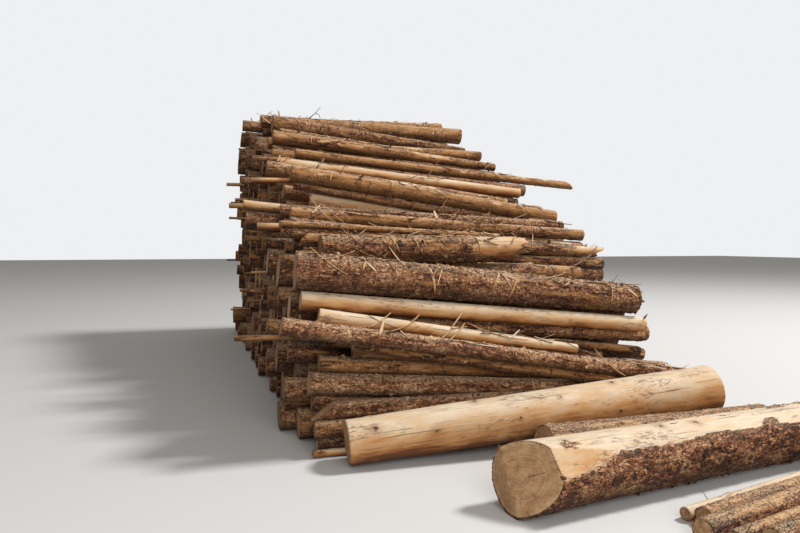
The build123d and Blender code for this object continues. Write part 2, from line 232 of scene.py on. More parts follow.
class Nodes:
    """Adds nodes to a material or a group, each with its settings and inputs in one call."""

    def __init__(self, tree):
        self.tree = tree

    def feed(self, socket, value):
        if isinstance(value, bpy.types.NodeSocket):
            self.tree.links.new(value, socket)
        elif socket.type == "RGBA" and len(value) == 3:
            socket.default_value = (*value, 1.0)
        else:
            socket.default_value = value

    def add(self, kind, inputs=(), **settings):
        node = self.tree.nodes.new(kind)
        for name, value in settings.items():
            setattr(node, name, value)
        for key, value in dict(inputs).items():
            self.feed(node.inputs[key], value)
        return node

    def math(self, operation, a, b=0.0):
        return self.add("ShaderNodeMath", {0: a, 1: b}, operation=operation).outputs[0]

    def plus(self, a, b):
        return self.math("ADD", a, b)

    def minus(self, a, b):
        return self.math("SUBTRACT", a, b)

    def times(self, a, b):
        return self.math("MULTIPLY", a, b)

    def shifted(self, value, by, share):
        """The value, moved up or down by a pattern that runs from 0 to 1."""
        return self.plus(value, self.times(self.minus(by, 0.5), share))

    def vector(self, operation, a, b):
        return self.add("ShaderNodeVectorMath", {0: a, 1: b}, operation=operation).outputs[0]

    def scaled(self, vector, factor):
        inputs = {0: vector, "Scale": factor}
        return self.add("ShaderNodeVectorMath", inputs, operation="SCALE").outputs[0]

    def joined(self, x, y=0.0, z=0.0):
        return self.add("ShaderNodeCombineXYZ", {0: x, 1: y, 2: z}).outputs[0]

    def parts(self, vector):
        return self.add("ShaderNodeSeparateXYZ", {0: vector}).outputs

    def noise(self, vector, detail=2.0, roughness=0.5):
        inputs = {"Vector": vector, "Scale": 1.0, "Detail": detail, "Roughness": roughness}
        return self.add("ShaderNodeTexNoise", inputs).outputs[0]

    def pattern(self, grain, along, across, detail=2.0, roughness=0.5):
        """Noise with that many waves on a metre along the log and across it."""
        return self.noise(self.vector("MULTIPLY", grain, (along, across, across)), detail, roughness)

    def warped(self, grain, waves, reach):
        """The grain, unevenly pushed aside by up to the reach."""
        push = self.add("ShaderNodeTexNoise", {"Vector": grain, "Scale": waves}).outputs[1]
        return self.vector("ADD", grain, self.scaled(push, reach))

    def cells(self, vector, feature="F1", output="Distance"):
        inputs = {"Vector": vector, "Scale": 1.0}
        return self.add("ShaderNodeTexVoronoi", inputs, feature=feature).outputs[output]

    def step(self, value, low, high):
        """0 below low, 1 above high, smooth between; low may be the larger."""
        inputs = {0: value, 1: low, 2: high, 3: 0.0, 4: 1.0}
        return self.add("ShaderNodeMapRange", inputs, interpolation_type="SMOOTHSTEP").outputs[0]

    def between(self, share, low, high):
        """From low at 0 to high at 1, and no further."""
        return self.add("ShaderNodeMapRange", {0: share, 1: 0.0, 2: 1.0, 3: low, 4: high}).outputs[0]

    def number(self, share, a, b):
        return self.add("ShaderNodeMix", {0: share, 2: a, 3: b}, data_type="FLOAT").outputs[0]

    def mix(self, share, a, b, how="MIX"):
        inputs = {0: share, 6: a, 7: b}
        return self.add("ShaderNodeMix", inputs, data_type="RGBA", blend_type=how).outputs[2]

    def tinted(self, colour, mask, share, over):
        """The colour, with another over it where the mask says so."""
        return self.mix(self.times(mask, share), colour, over)

    def ramp(self, value, stops):
        """A colour for each value; a stop is a place and a colour."""
        node = self.add("ShaderNodeValToRGB", {0: value})
        elements = node.color_ramp.elements
        while len(elements) < len(stops):
            elements.new(0.5)
        for element, (place, colour) in zip(elements, stops):
            element.position = place
            element.color = (*colour, 1.0)
        return node.outputs[0]

    def attribute(self, name):
        return self.add("ShaderNodeAttribute", attribute_name=name).outputs


# What a shader group puts out
SURFACE = {"Color": "NodeSocketColor", "Roughness": "NodeSocketFloat", "Height": "NodeSocketFloat"}


def new_group(name, kind, inputs, outputs):
    """A node group with named sockets, each with its type or, where it is a number, its default.

    Returns its nodes, its inputs and the sockets of its output node.
    """
    tree = bpy.data.node_groups.new(name, kind)
    for socket, given in inputs.items():
        number = isinstance(given, float)
        socket_type = "NodeSocketFloat" if number else given
        made = tree.interface.new_socket(socket, in_out="INPUT", socket_type=socket_type)
        if number:
            made.default_value = given
    for socket, socket_type in outputs.items():
        tree.interface.new_socket(socket, in_out="OUTPUT", socket_type=socket_type)
    nodes = Nodes(tree)
    return nodes, nodes.add("NodeGroupInput").outputs, nodes.add("NodeGroupOutput").inputs


# Tones of bark and wood, from dark to light: a place on the ramp and a colour
BARK_TONES = (
    (0.24, (0.022, 0.009, 0.005)),
    (0.37, (0.110, 0.038, 0.017)),
    (0.48, (0.255, 0.096, 0.042)),
    (0.60, (0.420, 0.200, 0.095)),
    (0.78, (0.610, 0.385, 0.215)),
)
INNER_BARK_TONES = (
    (0.34, (0.150, 0.054, 0.016)),
    (0.50, (0.390, 0.178, 0.058)),
    (0.66, (0.610, 0.360, 0.150)),
)
WOOD_TONES = (
    (0.06, (0.150, 0.050, 0.014)),
    (0.24, (0.400, 0.165, 0.050)),
    (0.42, (0.560, 0.290, 0.115)),
    (0.62, (0.630, 0.415, 0.230)),
    (0.90, (0.700, 0.560, 0.395)),
)
# The sawn ends run dark, partly as weathered wood and partly as painted shade.
END_TONES = (
    (0.34, (0.060, 0.034, 0.020)),
    (0.50, (0.180, 0.100, 0.054)),
    (0.66, (0.370, 0.220, 0.110)),
    (0.84, (0.600, 0.410, 0.225)),
)

# Colours that lie over those tones
# dust with a painted highlight, paler on the tops of the bark
dust_and_crest_highlight = (0.660, 0.475, 0.300)
# painted shade on the underside of the bark
underside_painted_shade = (0.040, 0.019, 0.011)
bark_crack_shade = (0.022, 0.010, 0.006)
bark_pit_shade = (0.020, 0.010, 0.006)
torn_edge = (0.110, 0.045, 0.022)
knot_collar = (0.520, 0.310, 0.150)
knot_scar = (0.040, 0.018, 0.010)
bast_brown = (0.235, 0.095, 0.040)
mould = (0.075, 0.040, 0.024)
wood_check = (0.085, 0.040, 0.018)
old_grey = (0.330, 0.250, 0.185)
scuff_brown = (0.150, 0.085, 0.050)
knot_halo = (0.270, 0.125, 0.052)
knot_core = (0.045, 0.022, 0.013)
late_wood = (0.230, 0.110, 0.045)
heartwood = (0.420, 0.205, 0.090)
end_crack = (0.030, 0.016, 0.010)


# Shader groups: bark, bare wood and growth rings. Grain is in metres along and across the log.

def make_bark_group():
    inputs = {"Grain": "NodeSocketVector", "Tone": 0.5, "Upward": 0.0, "Scraped": 0.3}
    n, given, result = new_group("bark", "ShaderNodeTree", inputs, SURFACE)
    grain = given["Grain"]
    plates = n.vector("MULTIPLY", n.warped(grain, 35.0, 0.016), (26.0, 62.0, 62.0))
    flake = n.parts(n.cells(plates, output="Color"))[0]
    seams = n.cells(plates, feature="DISTANCE_TO_EDGE")
    patches = n.pattern(grain, 3.4, 15.0, detail=6.0, roughness=0.66)
    specks = n.pattern(grain, 70.0, 150.0, detail=3.0, roughness=0.6)
    threads = n.pattern(grain, 7.0, 130.0, detail=4.0, roughness=0.6)
    broad = n.pattern(grain, 1.7, 5.5, detail=3.0, roughness=0.6)
    tone = n.plus(n.times(flake, 0.30), n.times(patches, 0.70))
    for pattern, share in ((specks, 0.75), (threads, 0.35), (given["Tone"], 0.40), (broad, 0.55)):
        tone = n.shifted(tone, pattern, share)
    colour = n.ramp(tone, BARK_TONES)
    inner = n.ramp(n.plus(n.times(threads, 0.7), n.times(patches, 0.3)), INNER_BARK_TONES)

    worn = n.shifted(n.pattern(grain, 2.2, 19.0, detail=6.0, roughness=0.70), specks, 0.22)
    worn = n.step(n.minus(worn, n.between(given["Scraped"], 0.70, 0.36)), -0.015, 0.030)
    colour = n.tinted(colour, worn, 0.90, inner)
    # Dust with a painted highlight: paler specks where the bark faces up, standing in for light on the tops.
    lit_tops_and_dust = n.times(n.step(given["Upward"], 0.35, 0.95), n.step(specks, 0.36, 0.56))
    colour = n.tinted(colour, lit_tops_and_dust, 0.55, dust_and_crest_highlight)
    # Painted shade: the bark is darker where its skin faces down.
    shaded_underside = n.step(given["Upward"], 0.10, -0.70)
    colour = n.tinted(colour, shaded_underside, 0.65, underside_painted_shade)
    # Painted shade in the cracks and pits of the bark: they are coloured near black.
    crack = n.times(n.step(seams, 0.12, 0.0), n.minus(1.0, n.times(worn, 0.7)))
    colour = n.tinted(colour, crack, 0.75, bark_crack_shade)
    bands = n.pattern(grain, 10.0, 3.0, detail=3.0, roughness=0.6)
    ring_crack = n.step(n.math("ABSOLUTE", n.minus(bands, 0.47)), 0.012, 0.004)
    ring_crack = n.times(ring_crack, n.step(broad, 0.40, 0.55))
    colour = n.tinted(colour, ring_crack, 0.80, bark_crack_shade)
    pits = n.step(specks, 0.345, 0.300)
    colour = n.tinted(colour, pits, 0.80, bark_pit_shade)

    n.feed(result["Color"], colour)
    n.feed(result["Roughness"], n.number(specks, 0.95, 0.78))
    height = n.plus(n.times(flake, 0.40), n.times(specks, 0.6))
    height = n.minus(height, n.times(n.plus(crack, ring_crack), 0.7))
    n.feed(result["Height"], n.minus(height, n.times(worn, 0.5)))
    return n.tree


def make_wood_group():
    inputs = {"Grain": "NodeSocketVector", "Tone": 0.5, "Upward": 0.0, "Knot": no_knot}
    n, given, result = new_group("bare wood", "ShaderNodeTree", inputs, SURFACE)
    grain = given["Grain"]
    fibres = n.pattern(grain, 9.0, 260.0, detail=4.0, roughness=0.6)
    streaks = n.pattern(grain, 3.2, 34.0, detail=4.0, roughness=0.62)
    clouds = n.pattern(grain, 2.6, 7.0, detail=4.0, roughness=0.6)
    specks = n.pattern(grain, 85.0, 240.0)
    # Painted light and shade: the bare wood is lighter where its skin faces up and darker underneath, on top
    # of its own clouds, streaks and tone.
    light = n.times(given["Upward"], 1.15)
    for pattern, share in ((clouds, 2.6), (streaks, 1.5), (given["Tone"], 1.0)):
        light = n.shifted(light, pattern, share)
    colour = n.ramp(n.plus(n.times(light, 0.4), 0.42), WOOD_TONES)
    shade = n.number(fibres, 0.72, 1.16)
    shade = n.add("ShaderNodeCombineColor", {0: shade, 1: shade, 2: shade}).outputs[0]
    colour = n.mix(1.0, colour, shade, "MULTIPLY")

    bast = n.times(n.step(streaks, 0.60, 0.72), n.step(clouds, 0.40, 0.62))
    colour = n.tinted(colour, bast, 0.60, bast_brown)
    mouldy = n.times(n.step(specks, 0.66, 0.74), n.step(streaks, 0.44, 0.60))
    colour = n.tinted(colour, mouldy, 0.72, mould)
    checks = n.pattern(grain, 1.6, 75.0, roughness=0.4)
    checked = n.times(n.step(checks, 0.675, 0.700), n.step(clouds, 0.36, 0.50))
    colour = n.tinted(colour, checked, 0.75, wood_check)
    grey = n.times(n.step(streaks, 0.52, 0.66), n.step(given["Upward"], -0.2, 0.7))
    colour = n.tinted(colour, grey, 0.38, old_grey)
    scuffs = n.pattern(grain, 1.9, 6.0, detail=5.0, roughness=0.72)
    scrapes = n.pattern(grain, 22.0, 75.0, detail=3.0, roughness=0.65)
    scuffed = n.times(n.step(scuffs, 0.52, 0.62), n.step(scrapes, 0.46, 0.56))
    colour = n.tinted(colour, scuffed, 0.70, scuff_brown)
    blot = n.pattern(grain, 45.0, 60.0, detail=4.0, roughness=0.7)
    ragged = n.shifted(given["Knot"], blot, 3.2)
    colour = n.tinted(colour, n.step(ragged, 2.8, 0.9), 0.42, knot_halo)
    colour = n.tinted(colour, n.step(ragged, 0.85, 0.40), 0.90, knot_core)

    n.feed(result["Color"], colour)
    n.feed(result["Roughness"], n.number(fibres, 0.74, 0.56))
    height = n.plus(n.times(fibres, 0.30), n.times(streaks, 0.22))
    height = n.minus(height, n.times(n.plus(scuffed, checked), 0.35))
    n.feed(result["Height"], n.plus(height, n.times(bast, 0.4)))
    return n.tree


def make_ring_group():
    inputs = {"Grain": "NodeSocketVector", "Tone": 0.5, "Inset": 0.0}
    n, given, result = new_group("growth rings", "ShaderNodeTree", inputs, SURFACE)
    grain = given["Grain"]
    section = n.vector("MULTIPLY", grain, (0.0, 1.0, 1.0))
    parts = n.parts(section)
    far = n.add("ShaderNodeVectorMath", {0: section}, operation="LENGTH").outputs["Value"]
    far = n.shifted(far, n.pattern(grain, 3.0, 16.0), 0.020)
    rings = n.plus(n.times(n.math("SINE", n.times(far, 1250.0)), 0.5), 0.5)
    years = n.noise(n.joined(n.times(far, 95.0)), detail=3.0)
    around = n.math("ARCTAN2", parts[2], parts[1])
    split = n.noise(n.joined(n.times(around, 7.0), n.times(far, 3.0)), detail=3.0, roughness=0.7)
    crack = n.times(n.step(split, 0.630, 0.665), n.step(far, 0.004, 0.03))
    clouds = n.pattern(grain, 4.0, 18.0, detail=5.0, roughness=0.65)
    saw = n.noise(n.vector("MULTIPLY", grain, (1.0, 30.0, 420.0)))
    tone = n.plus(n.times(clouds, 0.75), n.times(given["Tone"], 0.5))
    tone = n.shifted(n.shifted(tone, saw, 0.35), years, 0.55)
    colour = n.ramp(tone, END_TONES)
    colour = n.tinted(colour, rings, 0.26, late_wood)
    colour = n.tinted(colour, n.step(given["Inset"], 0.018, 0.034), 0.34, heartwood)
    colour = n.tinted(colour, crack, 0.85, end_crack)

    n.feed(result["Color"], colour)
    n.feed(result["Roughness"], n.number(saw, 0.88, 0.70))
    height = n.plus(n.times(rings, 0.15), n.times(saw, 0.5))
    n.feed(result["Height"], n.minus(height, n.times(crack, 1.2)))
    return n.tree


bark_group = make_bark_group()
wood_group = make_wood_group()
ring_group = make_ring_group()


def new_material(name):
    material = bpy.data.materials.new(name)
    material.use_nodes = True
    material.node_tree.nodes.clear()
    return material, Nodes(material.node_tree)


def finish_material(n, colour, roughness, height, depth):
    """Ends a material in a Principled shader, with a bump as deep as given, in metres."""
    bump = n.add("ShaderNodeBump", {"Height": height, "Distance": depth, "Strength": 1.0})
    inputs = {"Base Color": colour, "Roughness": roughness, "Normal": bump.outputs[0]}
    inputs["Specular IOR Level"] = specular
    shader = n.add("ShaderNodeBsdfPrincipled", inputs)
    n.add("ShaderNodeOutputMaterial", {0: shader.outputs[0]})


class LogMaterial:
    """A material on a log, with what it reads from the log's attributes."""

    def __init__(self, name):
        self.material, self.nodes = new_material(name)
        n = self.nodes
        finish = n.parts(n.attribute("finish")["Vector"])
        self.grain = n.attribute("grain")["Vector"]
        self.bark_tone, self.wood_tone = finish[1], finish[2]
        self.upward = n.parts(n.attribute("out")["Vector"])[2]

    def number(self, name):
        return self.nodes.attribute(name)["Fac"]

    def group(self, tree, tone, **given):
        inputs = {"Grain": self.grain, "Tone": tone, **given}
        return self.nodes.add("ShaderNodeGroup", inputs, node_tree=tree).outputs

    def bark(self):
        return self.group(bark_group, self.bark_tone, Upward=self.upward, Scraped=self.number("scraped"))


def skin_material(name, depth):
    """The side of a log: bark where the bark attribute says so, and bare wood elsewhere."""
    log = LogMaterial(name)
    n, grain = log.nodes, log.grain
    knot = log.number("knot")
    bark = log.bark()
    wood = log.group(wood_group, log.wood_tone, Upward=log.upward, Knot=knot)
    ragged = n.pattern(grain, 60.0, 130.0, detail=3.0)
    cover = n.step(n.plus(log.number("bark"), n.times(ragged, 0.7)), 0.75, 0.92)
    colour = n.mix(cover, wood["Color"], bark["Color"])
    edge = n.times(n.step(cover, 0.0, 0.4), n.step(cover, 1.0, 0.6))
    colour = n.tinted(colour, edge, 0.5, torn_edge)
    blot = n.pattern(grain, 45.0, 60.0, detail=3.0, roughness=0.7)
    blotted = n.shifted(knot, blot, 2.6)
    colour = n.tinted(colour, n.times(n.step(blotted, 2.0, 1.3), cover), 0.45, knot_collar)
    colour = n.tinted(colour, n.times(n.step(blotted, 1.15, 0.75), cover), 0.85, knot_scar)
    roughness = n.number(cover, wood["Roughness"], bark["Roughness"])
    height = n.number(cover, n.times(wood["Height"], 0.6), n.plus(bark["Height"], 0.8))
    finish_material(n, colour, roughness, height, depth)
    return log.material


def end_material(name, depth):
    """A sawn end, with its rim of bark."""
    log = LogMaterial(name)
    n = log.nodes
    inset = log.number("inset")
    wood = log.group(ring_group, log.wood_tone, Inset=inset)
    bark = log.bark()
    rim = n.times(log.number("bark"), n.pattern(log.grain, 60.0, 90.0))
    rim = n.times(n.step(rim, 0.15, 0.30), n.step(inset, bark_thickness, bark_thickness * 0.6))
    colour = n.mix(rim, wood["Color"], bark["Color"])
    finish_material(n, colour, wood["Roughness"], wood["Height"], depth)
    return log.material


skin = skin_material("log skin", skin_bump)
sawn_end = end_material("sawn end", end_bump)


# Geometry nodes: the relief of a log's skin

def loose_flakes(n, logs, bark, cap, given):
    """Curled flakes of bark that stand off the skin."""
    plate = {"Size": (1.0, 0.55, 0.07), "Vertices X": 3, "Vertices Y": 2, "Vertices Z": 2}
    sheet = n.add("GeometryNodeMeshCube", plate).outputs[0]
    place = n.parts(n.add("GeometryNodeInputPosition").outputs[0])
    curl = n.times(n.times(place[0], place[0]), 0.55)
    cup = n.times(n.times(place[1], place[1]), -0.8)
    lift = n.joined(n.times(place[1], 0.3), 0.0, n.plus(curl, cup))
    flake = n.add("GeometryNodeSetPosition", {"Geometry": sheet, "Offset": lift}).outputs[0]
    side = n.add("FunctionNodeBooleanMath", {0: cap}, operation="NOT").outputs[0]
    density = n.times(n.step(bark, 0.5, 0.9), given["Flakes"])
    spread = {"Mesh": logs, "Selection": side, "Density": density}
    points = n.add("GeometryNodeDistributePointsOnFaces", spread).outputs
    tilt = {"Min": (-0.45, -0.45, 0.0), "Max": (0.45, 0.45, 6.28)}
    tilt = n.add("FunctionNodeRandomValue", tilt, data_type="FLOAT_VECTOR").outputs[0]
    turned = {"Rotation": points["Rotation"], "Rotate By": tilt}
    turned = n.add("FunctionNodeRotateRotation", turned, rotation_space="LOCAL").outputs[0]
    size = n.add("FunctionNodeRandomValue", {2: 0.35, 3: 1.25}, data_type="FLOAT").outputs[1]
    size = n.times(size, given["Flake size"])
    placed = {"Points": points["Points"], "Instance": flake, "Rotation": turned, "Scale": size}
    return n.add("GeometryNodeInstanceOnPoints", placed).outputs[0]


def bark_share(n, grain, finish, bare):
    """1 where bark is left on a log, 0 where its wood is bare."""
    cover = n.pattern(grain, 2.3, 10.0, detail=4.0, roughness=0.62)
    level = n.between(finish[0], 0.78, 0.22)
    return n.step(n.minus(n.minus(cover, level), bare), -0.018, 0.018)


def skin_height(n, grain, bark, knot, given):
    """How far the skin stands off the log: plates and cracks of bark, fibres and knots."""
    across = n.math("DIVIDE", 1.0, given["Flake width"])
    sizes = n.joined(n.math("DIVIDE", 1.0, given["Flake length"]), across, across)
    plates = n.vector("MULTIPLY", n.warped(grain, 30.0, 0.02), sizes)
    crack = n.step(n.cells(plates, feature="DISTANCE_TO_EDGE"), 0.16, 0.0)
    lift = n.parts(n.cells(plates, output="Color"))[0]
    flakes = n.plus(n.times(lift, 0.45), n.times(crack, -0.55))
    flakes = n.shifted(flakes, n.pattern(grain, 24.0, 42.0, detail=3.0, roughness=0.65), 1.3)
    bark_height = n.times(n.plus(0.55, flakes), given["Bark thickness"])
    wood_height = n.times(n.minus(n.pattern(grain, 4.0, 60.0, detail=3.0), 0.5), 0.0030)
    knot_lift = n.times(n.step(knot, 1.9, 0.5), given["Knot height"])
    return n.number(bark, n.plus(wood_height, knot_lift), n.plus(bark_height, knot_lift))


def make_relief_tree():
    """Raises bark with its flakes where it is left, and knots on bare wood."""
    inputs = {
        "Geometry": "NodeSocketGeometry",
        "Bark thickness": bark_thickness,
        "Flake length": flake_length,
        "Flake width": flake_width,
        "Knot height": knot_height,
        "Flakes": 0.0,
        "Flake size": flake_size,
        "Skin": "NodeSocketMaterial",
        "End": "NodeSocketMaterial",
    }
    outputs = {"Geometry": "NodeSocketGeometry"}
    n, given, result = new_group("log relief", "GeometryNodeTree", inputs, outputs)

    def named(name, kind="FLOAT"):
        return n.add("GeometryNodeInputNamedAttribute", {"Name": name}, data_type=kind).outputs[0]

    def changed(kind, geometry, **inputs):
        return n.add(kind, {"Geometry": geometry, **inputs}).outputs[0]

    grain = named("grain", "FLOAT_VECTOR")
    bark = bark_share(n, grain, n.parts(named("finish", "FLOAT_VECTOR")), named("bare"))
    height = skin_height(n, grain, bark, named("knot"), given)
    offset = n.scaled(named("out", "FLOAT_VECTOR"), height)
    geometry = changed("GeometryNodeSetPosition", given["Geometry"], Offset=offset)
    stored = {"Geometry": geometry, "Name": "bark", "Value": bark}
    geometry = n.add("GeometryNodeStoreNamedAttribute", stored, data_type="FLOAT", domain="POINT").outputs[0]
    cap = named("cap", "BOOLEAN")
    flakes = loose_flakes(n, geometry, named("bark"), cap, given)
    join = n.add("GeometryNodeJoinGeometry")
    for part in (geometry, flakes):
        n.tree.links.new(part, join.inputs[0])
    geometry = changed("GeometryNodeRealizeInstances", join.outputs[0])
    place = n.parts(n.add("GeometryNodeInputPosition").outputs[0])
    above = n.joined(place[0], place[1], n.math("MAXIMUM", place[2], 0.0))
    geometry = changed("GeometryNodeSetPosition", geometry, Position=above)
    geometry = changed("GeometryNodeSetMaterial", geometry, Material=given["Skin"])
    geometry = changed("GeometryNodeSetMaterial", geometry, Selection=cap, Material=given["End"])
    n.feed(result["Geometry"], geometry)
    return n.tree


relief_tree = make_relief_tree()


def set_input(modifier, name, value):
    for item in modifier.node_group.interface.items_tree:
        if item.item_type == "SOCKET" and item.in_out == "INPUT" and item.name == name:
            modifier[item.identifier] = value


def new_object(name, data):
    made = bpy.data.objects.new(name, data)
    bpy.context.scene.collection.objects.link(made)
    return made


def with_relief(name, mesh, inputs):
    """The mesh with its relief, as a plain object."""
    raw = new_object(name + "_raw", mesh)
    modifier = raw.modifiers.new("relief", "NODES")
    modifier.node_group = relief_tree
    for key, value in inputs.items():
        set_input(modifier, key, value)
    bpy.context.view_layer.update()
    depsgraph = bpy.context.evaluated_depsgraph_get()
    made = bpy.data.meshes.new_from_object(raw.evaluated_get(depsgraph), depsgraph=depsgraph)
    bpy.data.objects.remove(raw)
    return new_object(name, made)


def store_values(mesh, values):
    """Gives each point of a mesh its values, as attributes that relief and materials read."""
    for name, chunks in values.items():
        found = np.concatenate(chunks)
        kind, slot = ("FLOAT_VECTOR", "vector") if found.ndim == 2 else ("FLOAT", "value")
        made = mesh.attributes.new(name, kind, "POINT")
        made.data.foreach_set(slot, found.reshape(-1).astype(np.float32))


class Finish:
    """How a log looks: its share of bark, its tones and its wear."""

    def __init__(self, bark, bark_tone=0.5, wood_tone=0.5, scraped=0.5, bare_top=0.0, flakes=36.0,
                 thick=1.0, splinters=0.0):
        self.bark = bark
        self.bark_tone = bark_tone
        self.wood_tone = wood_tone
        self.scraped = scraped          # how much of the bark is scraped down to its inner layer
        self.bare_top = bare_top        # how bare the top of the log is, from 0 to 1
        self.flakes = flakes            # loose flakes of bark on a square metre
        self.thick = thick              # thickness of the bark, against the usual one
        self.splinters = splinters      # how deep the right end is broken, in metres
        self.slot = "bark_log" if bark > 0 else "peeled_wood"


# Share of bark, tone of the bark and tone of the bare wood, then what else sets a log apart
FINISHES = {
    "foot_log_peeled": Finish(0.0, wood_tone=0.46),
    "foot_log_hewn": Finish(0.88, 0.40, 0.62, scraped=0.30, bare_top=0.42, flakes=110, thick=1.6),
    "foot_bearer_log": Finish(0.95, 0.45, flakes=60),
    "valley_log": Finish(0.9, 0.3),
    "bottom_pole_pale": Finish(0.55, 0.45, 0.4),
    "bottom_pole_red": Finish(0.80, 0.40, 0.30, scraped=0.6),
    "slant_cut_pole": Finish(0.80, 0.62, 0.70, scraped=0.3),
    "speckled_red_log": Finish(0.95, 0.66, 0.5, scraped=0.15, flakes=30),
    "patchy_orange_log": Finish(0.80, 0.36, 0.25, scraped=0.75, flakes=70),
    "yellow_ended_pole": Finish(0.75, 0.40, 0.35, scraped=0.7),
    "long_bark_log": Finish(0.95, 0.60, 0.5, scraped=0.25, flakes=80),
    "pale_ended_pole": Finish(0.90, 0.56, 0.6, scraped=0.5),
    "peeled_log_yellow": Finish(0.0, wood_tone=0.56),
    "peeled_log_pale": Finish(0.0, wood_tone=0.64),
    "thick_bark_log": Finish(1.0, 0.46, 0.4, scraped=0.42, flakes=340, thick=2.2),
    "broken_bark_log": Finish(0.97, 0.44, 0.12, scraped=0.50, flakes=190, thick=1.8, splinters=0.20),
    "splintered_pole": Finish(0.70, 0.45, 0.45, scraped=0.6, splinters=0.12),
    "bright_peeled_log": Finish(0.0, wood_tone=0.68),
    "yellow_ended_log": Finish(0.30, 0.5, 0.42, scraped=0.9),
    "jutting_pole": Finish(0.70, 0.5, 0.45, scraped=0.85),
    "ridge_log": Finish(0.95, 0.46, 0.5, scraped=0.5, flakes=55),
}


def finish_of(node, chance):
    """A log's own finish, or one drawn for the many like logs."""
    if node in FINISHES:
        return FINISHES[node]
    if node.startswith("foot_pole"):
        bark = 0.35 if node == "foot_pole_1" else chance.uniform(0.75, 1.0)
        return Finish(bark, chance.uniform(0.35, 0.5), 0.6, chance.uniform(0.4, 0.8))
    bark = chance.uniform(0.55, 1.0)
    bark_tone, wood_tone = chance.uniform(0.38, 0.62), chance.uniform(0.25, 0.6)
    return Finish(bark, bark_tone, wood_tone, chance.uniform(0.3, 1.0), flakes=42)


def inner_finish(chance):
    """The finish of a log of which mostly the ends show: some ends are fresh, most are painted dark, as
    weathered wood with painted shade.
    """
    bark = chance.uniform(0.7, 1.0)
    end_tone_and_shade = chance.uniform(0.5, 0.85) if chance.random() < 0.25 else chance.uniform(-0.2, 0.35)
    bark_tone = chance.uniform(0.25, 0.5)
    return Finish(bark, bark_tone, end_tone_and_shade, chance.uniform(0.0, 0.7), flakes=0)


def waves(along, around, chance, count=5):
    """A smooth unevenness over a log's skin, between about -1 and 1."""
    total = 0
    for _ in range(count):
        turns = chance.randint(1, 4)
        length = chance.uniform(0.35, 1.6)
        phase = chance.uniform(0, 2 * math.pi)
        total = total + np.sin(around * turns + along * 2 * math.pi / length + phase) / count
    return total


def knots_of(log, chance):
    """The branch knots of a log, in whorls: place along it, turn round it and radius."""
    found = []
    along = chance.uniform(*whorl_gaps) / 2
    while along < log.length:
        turn = chance.uniform(0, 2 * math.pi)
        count = chance.randint(2, 5)
        for k in range(count):
            place = along + chance.uniform(-0.03, 0.03)
            knot_turn = turn + (k + chance.uniform(-0.2, 0.2)) * 2 * math.pi / count
            found.append((place, knot_turn, chance.uniform(*knot_share) * min(log.radius)))
        along += chance.uniform(*whorl_gaps)
    return found


def knot_distance(along, around, radius, knots):
    """How far each place of the skin is from the next knot, in that knot's radii."""
    nearest = np.full_like(along, no_knot)
    for place, turn, size in knots:
        arc = (around - turn + math.pi) % (2 * math.pi) - math.pi
        nearest = np.minimum(nearest, np.hypot((along - place) * 0.8, arc * radius) / size)
    return nearest


def splintered(across, high, depth, chance):
    """How far a broken end falls back at each place of its section."""
    total = 0
    for _ in range(5):
        slope = (chance.uniform(-90, 90), chance.uniform(-90, 90))
        total = total + np.abs(np.sin(across * slope[0] + high * slope[1] + chance.uniform(0, 6))) / 5
    return depth * (total - 0.48 * high / max(np.abs(high).max(), 1e-6))


